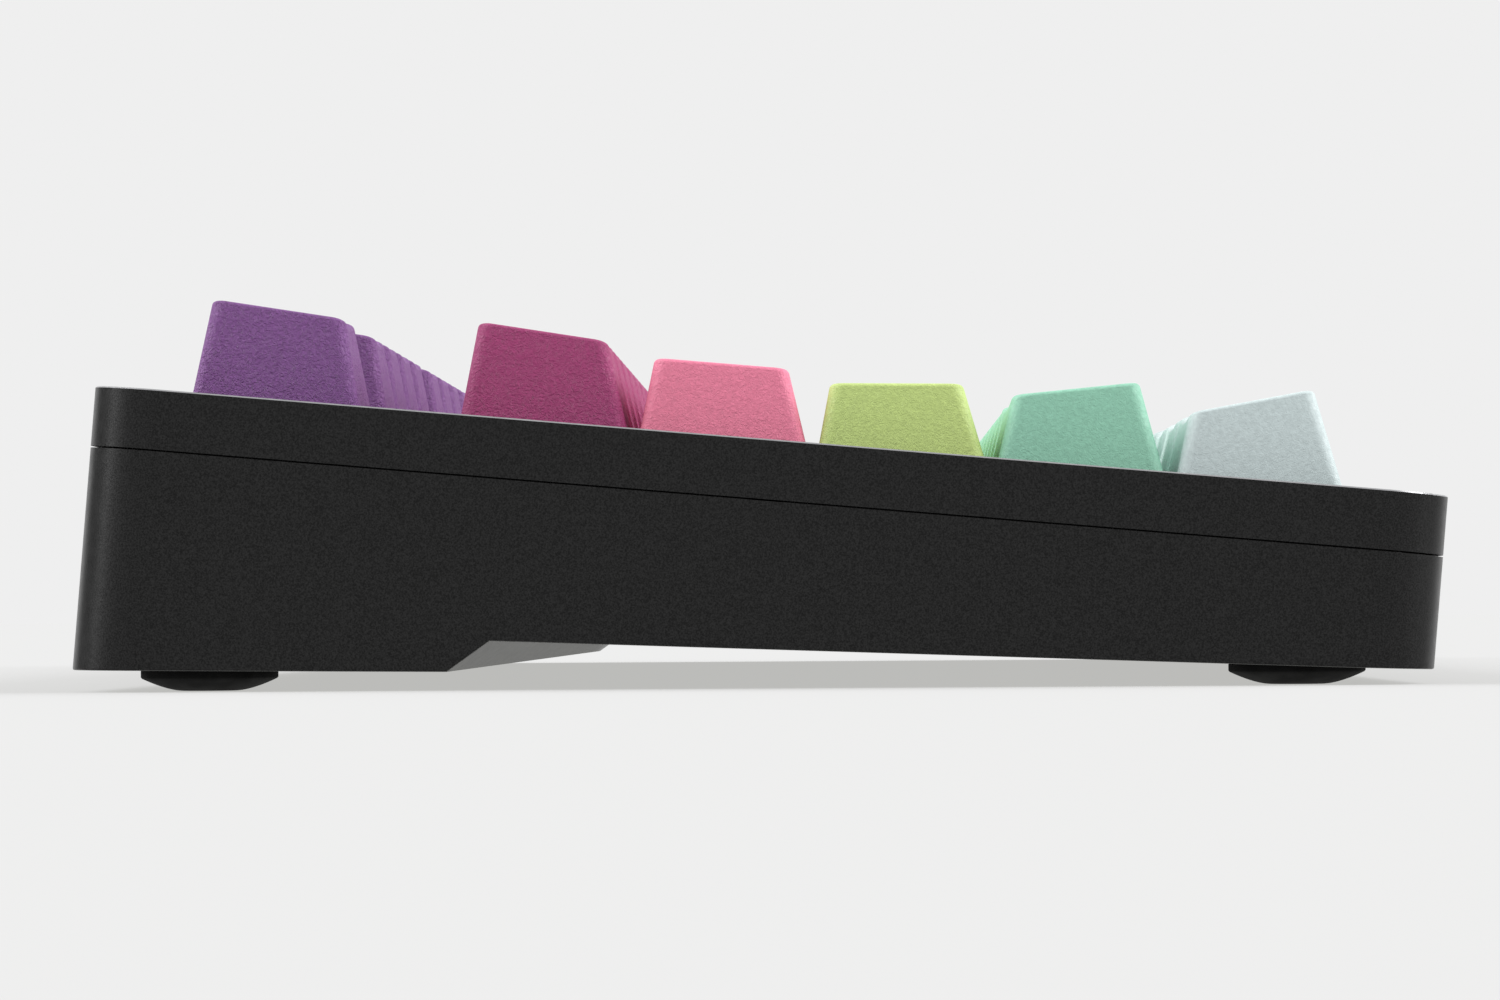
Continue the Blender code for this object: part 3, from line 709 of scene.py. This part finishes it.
def make_keys():
    for node in KEYCAP_NODES:
        row = ROW_OF[node]
        caps, sliders = bmesh.new(), bmesh.new()
        for i, (x, y, width) in enumerate(keys_of(node)):
            keycap(caps, x, y, width, row)
            slider(sliders, x, y, width)
            if node == "keycaps_home_letters" and i in HOMING_KEYS:
                homing_bar(caps, x, y, row)
        name = node.replace("keycaps_", "").replace("keycap_", "")
        finished(f"caps_{name}", mesh_of(caps, name), node, [row], sharp=50)
        finished(f"sliders_{name}", mesh_of(sliders, name), node, ["slider"])


# Switch housings, stabilisers and electronics


def housing(bm, x, y):
    """A housing: a body through the plate, a flange on it and a tapered top with the slider's shaft."""
    # half width, half depth, corner radius and height above the plate
    shape = [
        (0.0060, 0.0060, 0.0006, -HOUSING_DEPTH),
        (0.0067, 0.0067, 0.0006, -HOUSING_DEPTH + 0.0007),
        (0.0067, 0.0067, 0.0006, REST_GAP),
        (0.0076, 0.0076, 0.0010, REST_GAP),
        (0.0078, 0.0078, 0.0010, REST_GAP + 0.0002),
        (0.0078, 0.0078, 0.0010, 0.0011),
        (0.0073, 0.0073, 0.0010, 0.0013),
        (0.0057, 0.0055, 0.0010, HOUSING_HEIGHT - 0.0003),
        (0.0054, 0.0052, 0.0010, HOUSING_HEIGHT),
        (*SLIDER_OPENING, 0.0003, HOUSING_HEIGHT),
        (*SLIDER_OPENING, 0.0003, -SHAFT_DEPTH),
    ]
    loft(bm, [level(outline(hx, -hy, hy, r, 3), PLATE_TOP + z, (x, y)) for hx, hy, r, z in shape])


def stabiliser_housing(bm, x, y):
    """A channel that a stabiliser's stem runs in: a floor and two side walls."""
    low, high = PLATE_TOP - HOUSING_DEPTH, PLATE_TOP + STABILISER_HEIGHT
    front, rear = (y + at for at in STABILISER_Y)
    floor_high = (x + STABILISER_HALF, rear, low + STABILISER_FLOOR)
    block(bm, (x - STABILISER_HALF, front, low), floor_high, STABILISER_FLOOR_EASE)
    for side in (-1, 1):
        near, far = sorted((x + side * STABILISER_CHANNEL_HALF, x + side * STABILISER_HALF))
        block(bm, (near, front, low), (far, rear, high), STABILISER_WALL_EASE)


def make_switches():
    for row in PROFILES:
        bm = bmesh.new()
        for node in KEYCAP_NODES:
            if ROW_OF[node] != row:
                continue
            for x, y, width in keys_of(node):
                housing(bm, x, y)
                for offset in stabiliser_xs(width):
                    stabiliser_housing(bm, x + offset, y)
        name = f"switch_housings_{row}_row"
        finished(f"fine_{name}", mesh_of(bm, name), name, ["switch"])


def make_wires():
    """Smooth bent wires on the line that the CAD wires follow."""
    turns = [math.pi / 2 * k / WIRE_BEND_STEPS for k in range(WIRE_BEND_STEPS + 1)]
    for node in nodes_named("stabiliser_wire_"):
        low, high = lean_box(node)
        half = (high.x - low.x) / 2 - WIRE_RADIUS
        middle = (low.x + high.x) / 2
        start = Vector((low.y + WIRE_RADIUS, low.z + WIRE_RADIUS))
        end = high.yz - WIRE_RADIUS * Vector(WIRE_END_SHARES)
        arm = (end - start).normalized()
        path = [(half - WIRE_BEND * (1 - math.sin(t)), WIRE_BEND * (1 - math.cos(t))) for t in turns]
        path.append((half, (end - start).length))
        path = [(-across, along) for across, along in reversed(path)] + path
        curve = bpy.data.curves.new(node, "CURVE")
        curve.dimensions = "3D"
        curve.bevel_depth = WIRE_RADIUS
        curve.bevel_resolution = 4
        curve.use_fill_caps = True
        spline = curve.splines.new("POLY")
        spline.points.add(len(path) - 1)
        for point, (across, along) in zip(spline.points, path):
            point.co = (middle + across, start.x + along * arm.x, start.y + along * arm.y, 1)
        drawn = link("drawn", curve)
        bpy.context.view_layer.update()
        graph = bpy.context.evaluated_depsgraph_get()
        mesh = bpy.data.meshes.new_from_object(drawn.evaluated_get(graph))
        bpy.data.objects.remove(drawn)
        finished(f"fine_{node}", mesh, node, ["steel"])


def make_socket():
    """A USB-C receptacle: a drawn oval shell round a tongue with gilt contacts."""
    low, high = lean_box("usb_socket")
    x, z = (low.x + high.x) / 2, (low.z + high.z) / 2
    half_x, half_z = (high.x - low.x) / 2, (high.z - low.z) / 2
    back, mouth = low.y, high.y

    def oval(shrink, y):
        round_end = half_z - shrink - TINY
        flat = outline(half_x - shrink, -half_z + shrink, half_z - shrink, round_end, 8)
        return [Vector((p.x + x, y, p.y + z)) for p in flat]

    bm = bmesh.new()
    loft(bm, [
        oval(0, back),
        oval(0, mouth - SOCKET_MOUTH_EASE),
        oval(SOCKET_MOUTH_EASE, mouth),
        oval(SOCKET_WALL, mouth),
        oval(SOCKET_WALL, back + SOCKET_BACK),
    ])
    tongue_x, tongue_z = TONGUE_HALF
    tongue_low = (x - tongue_x, back + TONGUE_INSET[0], z - tongue_z)
    tongue_high = (x + tongue_x, mouth - TONGUE_INSET[1], z + tongue_z)
    block(bm, tongue_low, tongue_high, TONGUE_EASE, 1)
    contact_x, contact_z = CONTACT_HALF
    for k in range(CONTACTS):
        at = x + (k - (CONTACTS - 1) / 2) * CONTACT_PITCH
        contact_low = (at - contact_x, mouth - CONTACT_INSET[0], z - contact_z)
        contact_high = (at + contact_x, mouth - CONTACT_INSET[1], z + contact_z)
        block(bm, contact_low, contact_high, CONTACT_EASE, 2)
    finished("fine_usb_socket", mesh_of(bm, "socket"), "usb_socket", ["steel", "tongue", "gold"])


def make_chip():
    """The controller in its flat square package, with leads on four sides."""
    low, high = lean_box("controller_chip")
    middle, half = (low + high) / 2, (high.x - low.x) / 2
    top = high.z
    bm = bmesh.new()
    package_low = (low.x + LEAD_LENGTH, low.y + LEAD_LENGTH, low.z)
    package_high = (high.x - LEAD_LENGTH, high.y - LEAD_LENGTH, top - PACKAGE_GAP)
    block(bm, package_low, package_high, PACKAGE_EASE, 0)

    def lead(x, y):
        """A lead between two places across and two along, from the middle."""
        lead_low = (middle.x + x[0], middle.y + y[0], top - LEAD_THICKNESS)
        block(bm, lead_low, (middle.x + x[1], middle.y + y[1], top), LEAD_EASE, 1)

    for k in range(LEADS):
        at = (k - (LEADS - 1) / 2) * LEAD_PITCH
        width = (at - LEAD_HALF, at + LEAD_HALF)
        for side in (-1, 1):
            length = sorted((side * (half - LEAD_LENGTH - LEAD_OVERLAP), side * half))
            lead(length, width)
            lead(width, length)
    finished("fine_controller_chip", mesh_of(bm, "chip"), "controller_chip", ["chip", "steel"])


# Case


def case_height(y, height):
    """Level in the leaning frame of the point at that y that is a given height above the desk."""
    ahead = LEAN @ Vector((0, y, 0))
    return (height - ahead.z) / LEAN[2][2]


def inset_outline(inset, corner, steps):
    """The case's outline in plan, drawn in from its walls."""
    half_y = CASE_HIGH.y - inset
    return outline(CASE_HIGH.x - inset, -half_y, half_y, corner, steps)


def window_cutter(low_x, low_y, high_x, high_y):
    """A cutter with rounded corners that flares at the top face, so that it leaves a chamfer."""
    centre = ((low_x + high_x) / 2, (low_y + high_y) / 2)
    half_x, half_y = (high_x - low_x) / 2, (high_y - low_y) / 2
    spread = RIM_CHAMFER + WINDOW_FLARE
    straight = outline(half_x, -half_y, half_y, WINDOW_CORNER, 4)
    flared = outline(half_x + spread, -half_y - spread, half_y + spread, WINDOW_CORNER + spread, 4)
    return solid([
        level(straight, BELOW_TOP_CASE, centre),
        level(straight, -RIM_CHAMFER, centre),
        level(flared, -RIM_CHAMFER + spread, centre),
    ])


def box_around(nodes, clear_x, clear_y):
    """(low x, low y, high x, high y) round some nodes."""
    boxes = [lean_box(n) for n in nodes]
    return (
        min(b[0].x for b in boxes) - clear_x,
        min(b[0].y for b in boxes) - clear_y,
        max(b[1].x for b in boxes) + clear_x,
        max(b[1].y for b in boxes) + clear_y,
    )


def cluster_windows():
    """The box of each window, from the keycap nodes that stand in it."""
    function_row = [n for n in KEYCAP_NODES if ROW_OF[n] == "function"]
    navigation = ["keycaps_insert_home_page_up", "keycaps_delete_end_page_down"]
    arrows = ["keycap_left", "keycap_down", "keycap_right"]
    rest = [n for n in KEYCAP_NODES if n not in [*function_row, *navigation, *arrows, "keycap_up"]]
    groups = [[n] for n in function_row] + [rest, navigation, arrows, ["keycap_up", "keycap_down"]]
    return [box_around(group, WINDOW_CLEARANCE, WINDOW_CLEARANCE) for group in groups]


def make_top_case():
    low = BASE_HIGH + SEAM_LINE
    around = inset_outline(0, CORNER, CORNER_STEPS)
    inner = inset_outline(RIM_CHAMFER, CORNER - RIM_CHAMFER, CORNER_STEPS)
    case = solid([level(around, low), level(around, -RIM_CHAMFER), level(inner, 0)])
    lip = inset_outline(LEDGE_INSET + REST_GAP, LIP_CORNER, 6)
    boolean(case, upright(lip, PLATE_TOP + REST_GAP, low + LIP_OVERLAP), "UNION")
    _, pocket_low, pocket_x, pocket_high = box_around(KEYCAP_NODES, *POCKET_CLEARANCE)
    pocket = outline(pocket_x, pocket_low, pocket_high, POCKET_CORNER, 4)
    cut(case, upright(pocket, BELOW_TOP_CASE, -RIB_DEPTH))
    for window in cluster_windows():
        cut(case, window_cutter(*window))
    for node in nodes_named("case_screw_"):
        screw_low, screw_high = lean_box(node)
        centre = ((screw_low + screw_high) / 2).xy
        hole = circle(SCREW_HOLE, HOLE_STEPS)
        cut(case, upright(hole, BELOW_TOP_CASE, -SCREW_HOLE_SKIN, centre))
    # The outer rim chamfer gets the lighter metal, a painted highlight.
    paint_rim_highlight(case.data)
    finished("fine_top_case", taken_mesh(case), "top_case", ["case", "chamfer"])


def paint_rim_highlight(mesh):
    """Gives the second material, a lighter metal that is a painted highlight, to the narrow sloping faces
    round the outside of the top face.
    """
    beyond = CASE_HIGH.xy - Vector((CORNER + CHAMFER_REACH, CORNER + CHAMFER_REACH))
    for face in mesh.polygons:
        outside = abs(face.center.x) > beyond.x or abs(face.center.y) > beyond.y
        sloping = 0.5 < face.normal.z < 0.9 and face.center.z > -2 * RIM_CHAMFER
        face.material_index = int(outside and sloping)


def underside(inset, raise_by, top):
    """The underside's outline in (y, z), closed above."""
    half = CASE_HIGH.y - inset
    ramp_y, ramp_z = RAMP_TOP
    beyond = half + BEYOND_WALL
    return [
        (beyond, case_height(half, REAR_PAD_HEIGHT) + raise_by),
        (PAD_FRONT_Y + raise_by / 2, case_height(PAD_FRONT_Y, REAR_PAD_HEIGHT) + raise_by),
        (ramp_y + raise_by / 2, ramp_z + raise_by),
        (LIP_Y, case_height(LIP_Y, FRONT_LIP_HEIGHT) + raise_by),
        (-beyond, case_height(-half, FRONT_LIP_HEIGHT) + raise_by),
        (-beyond, top),
        (beyond, top),
    ]


def case_block(inset, raise_by, top, corner, steps):
    """The case's outside, or its cavity: drawn in from the walls and raised from the underside."""
    body = upright(inset_outline(inset, corner, steps), FAR_BELOW, FAR_ABOVE)
    profile = underside(inset, raise_by, top)
    ends = [[Vector((x, y, z)) for y, z in profile] for x in (-FAR_SIDE, FAR_SIDE)]
    return boolean(body, solid(ends), "INTERSECT")


def ease_underside(case):
    """Rounds the outer edges where the walls meet the underside."""
    bm = bmesh.new()
    bm.from_mesh(case.data)
    edges = []
    for e in bm.edges:
        if len(e.link_faces) == 2:
            lower, upper = sorted(f.normal.z for f in e.link_faces)
            if lower < -0.7 and upper > -0.2:
                edges.append(e)
    bmesh.ops.bevel(bm, geom=edges, offset=EDGE_BREAK, segments=2, profile=0.5, affect="EDGES")
    bm.to_mesh(case.data)
    bm.free()


def floor_level(y):
    """About where the underside is, on the rear pad or on the raised middle."""
    if y > PAD_FRONT_Y:
        return case_height(y, REAR_PAD_HEIGHT)
    return RAMP_TOP[1] + MIDDLE_RISE - MIDDLE_SLOPE * y


def make_bottom_case():
    case = case_block(0, 0, BASE_HIGH, CORNER, CORNER_STEPS)
    ease_underside(case)
    cut(case, case_block(CAVITY_INSET, FLOOR_THICKNESS, CAVITY_TOP, CAVITY_CORNER, 4))
    cut(case, upright(inset_outline(LEDGE_INSET, LEDGE_CORNER, 5), LEDGE_Z, FAR_ABOVE))
    for node in nodes_named("case_screw_"):
        low, high = lean_box(node)
        centre = ((low + high) / 2).xy
        boss_foot = floor_level(centre.y) + BOSS_FOOT
        boss_top = LEDGE_Z - BOSS_BELOW_LEDGE
        head_seat = low.z + SCREW_HEAD + REST_GAP
        boolean(case, upright(circle(SCREW_BOSS, BOSS_STEPS), boss_foot, boss_top, centre), "UNION")
        cut(case, upright(circle(SCREW_HOLE, HOLE_STEPS), FAR_BELOW, FAR_ABOVE, centre))
        cut(case, upright(circle(SCREW_HEAD_HOLE, BOSS_STEPS), FAR_BELOW, head_seat, centre))
    for node in nodes_named("foot_"):
        low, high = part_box(node)
        seat = circle((high.x - low.x) / 2 + REST_GAP, FOOT_SEAT_STEPS)
        cutter = upright(seat, BELOW_DESK, high.z + REST_GAP, ((low + high) / 2).xy)
        cutter.data.transform(LEAN.inverted())
        cut(case, cutter)
    low, high = lean_box("usb_socket")
    half_x, half_z, corner = PLUG_RECESS
    recess = outline(half_x, -half_z, half_z, corner, 8)
    x, z = (low.x + high.x) / 2, (low.z + high.z) / 2
    cut(case, solid([[Vector((p.x + x, y, p.y + z)) for p in recess] for y in PLUG_RECESS_Y]))
    finished("fine_bottom_case", taken_mesh(case), "bottom_case", ["case"])


def make_feet():
    """Moulded rubber feet, domed towards the desk."""
    for node in nodes_named("foot_"):
        low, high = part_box(node)
        radius, middle = (high.x - low.x) / 2, ((low + high) / 2).xy
        profile = [(radius - FOOT_EASE, high.z), (radius, high.z - FOOT_EASE), (radius, FOOT_WALL_BOTTOM)]
        for k in range(FOOT_STEPS + 1):
            share = k / FOOT_STEPS
            reach = radius - FOOT_SHOULDER - (radius - FOOT_FLAT) * share
            profile.append((reach, DOME_HEIGHT * (1 - share) ** DOME_CURVE))
        profile.append((FOOT_MIDDLE, 0))
        bm = bmesh.new()
        revolve(bm, profile, FOOT_ROUND_STEPS, middle)
        finished(f"fine_{node}", mesh_of(bm, node), node, ["rubber"], leaning=False, sharp=50)


def hexagon(steps):
    """A hexagon with points on its flats too, so that it can be skinned to a circle."""
    points = []
    for k in range(steps):
        turn = 2 * math.pi * k / steps
        reach = SOCKET_HALF_FLATS * math.cos(math.pi / 6) / math.cos((turn % (math.pi / 3)) - math.pi / 6)
        points.append(Vector((reach * math.cos(turn), reach * math.sin(turn))))
    return points


def make_screws():
    """Socket-head screws with a rolled thread."""
    for node in nodes_named("case_screw_"):
        low, high = lean_box(node)
        middle, radius = ((low + high) / 2).xy, (high.x - low.x) / 2
        head_top = low.z + SCREW_HEAD
        root, crest = THREAD_RADII
        profile = [
            (radius - SCREW_HEAD_EASE, low.z),
            (radius, low.z + SCREW_HEAD_EASE),
            (radius, head_top - SCREW_HEAD_FOOT_EASE),
            (radius - SCREW_HEAD_FOOT_EASE, head_top),
            (crest, head_top),
        ]
        for k in range(int((high.z - head_top - 2 * THREAD_PITCH) / THREAD_PITCH)):
            z = head_top + THREAD_START + k * THREAD_PITCH
            profile += [(root, z), (crest, z + THREAD_PITCH / 2)]
        profile.append((THREAD_TIP, high.z))
        drive = hexagon(SCREW_STEPS)
        rings = [level(drive, low.z + SOCKET_DEPTH, middle), level(drive, low.z, middle)]
        rings += [level(circle(r, SCREW_STEPS), z, middle) for r, z in profile]
        bm = bmesh.new()
        loft(bm, rings)
        finished(f"fine_{node}", mesh_of(bm, node), node, ["screw"])


def dress(node, material):
    """Gives a CAD node that stays as it is its finish."""
    NODES[node].data.materials.clear()
    NODES[node].data.materials.append(MATERIALS[material])


# Studio


def make_studio():
    scene = bpy.context.scene
    scene.view_settings.view_transform = "Standard"
    world = bpy.data.worlds.new("studio")
    world.use_nodes = True
    background = world.node_tree.nodes["Background"]
    background.inputs["Color"].default_value = (BACKDROP, BACKDROP, BACKDROP, 1)
    background.inputs["Strength"].default_value = 1
    scene.world = world

    floor = link("floor", plane_mesh("floor", FLOOR_HALF, FLOOR_HALF))
    paper = Finish("floor_paper", FLOOR_COLOUR, 1.0).grain(0.01, 0.00001)
    paper.set(Specular_IOR_Level=0.0, Emission_Color=FLOOR_GLOW, Emission_Strength=FLOOR_GLOW_STRENGTH)
    floor.data.materials.append(paper.made)

    for name, tilt in SUN_TILTS.items():
        sun(name, tilt)
    for side in (-1, 1):
        dark_card(CARD_DISTANCE * Vector((-math.cos(CARD_ANGLE), side * math.sin(CARD_ANGLE), 0)))

    lens = bpy.data.cameras.new("camera")
    lens.lens = LENS
    lens.sensor_width = 36
    lens.shift_x, lens.shift_y = SHIFT
    lens.clip_start, lens.clip_end = 0.01, 200
    camera = link("camera", lens)
    ahead = Matrix(((0, 0, -1), (-1, 0, 0), (0, 1, 0))).to_4x4()
    place = Matrix.Translation((CAD_BOX[0].x - CAMERA_DISTANCE, CAMERA_Y, CAMERA_HEIGHT))
    camera.matrix_world = place @ ahead @ Matrix.Rotation(CAMERA_ROLL, 4, "Z")
    scene.camera = camera


def plane_mesh(name, half_x, half_y):
    bm = bmesh.new()
    corners = [(-half_x, -half_y), (half_x, -half_y), (half_x, half_y), (-half_x, half_y)]
    bm.faces.new([bm.verts.new((x, y, 0)) for x, y in corners])
    mesh = bpy.data.meshes.new(name)
    bm.to_mesh(mesh)
    bm.free()
    return mesh


def dark_card(place):
    """A dark card at the side of the set that only the metal's reflections show."""
    card = link("card", plane_mesh("card", *CARD_HALF))
    card.data.materials.append(Finish("card_velvet", (0.01, 0.01, 0.01), 1.0).grain(0.001, 0.0001).made)
    card.matrix_world = Matrix.Translation(place) @ place.to_track_quat("Z", "Y").to_matrix().to_4x4()
    card.visible_camera = card.visible_diffuse = card.visible_shadow = False


def sun(name, tilt):
    """A soft far light, tilted from straight overhead by degrees about X, Y and Z."""
    lamp = bpy.data.lights.new(name, "SUN")
    lamp.energy = SUN_STRENGTH
    lamp.angle = math.radians(SUN_SPREAD)
    link(name, lamp).rotation_euler = [math.radians(t) for t in tilt]


make_studio()
make_top_case()
make_bottom_case()
make_feet()
make_screws()
make_keys()
make_switches()
make_wires()
make_socket()
make_chip()
dress("switch_plate", "plate")
dress("circuit_board", "board")
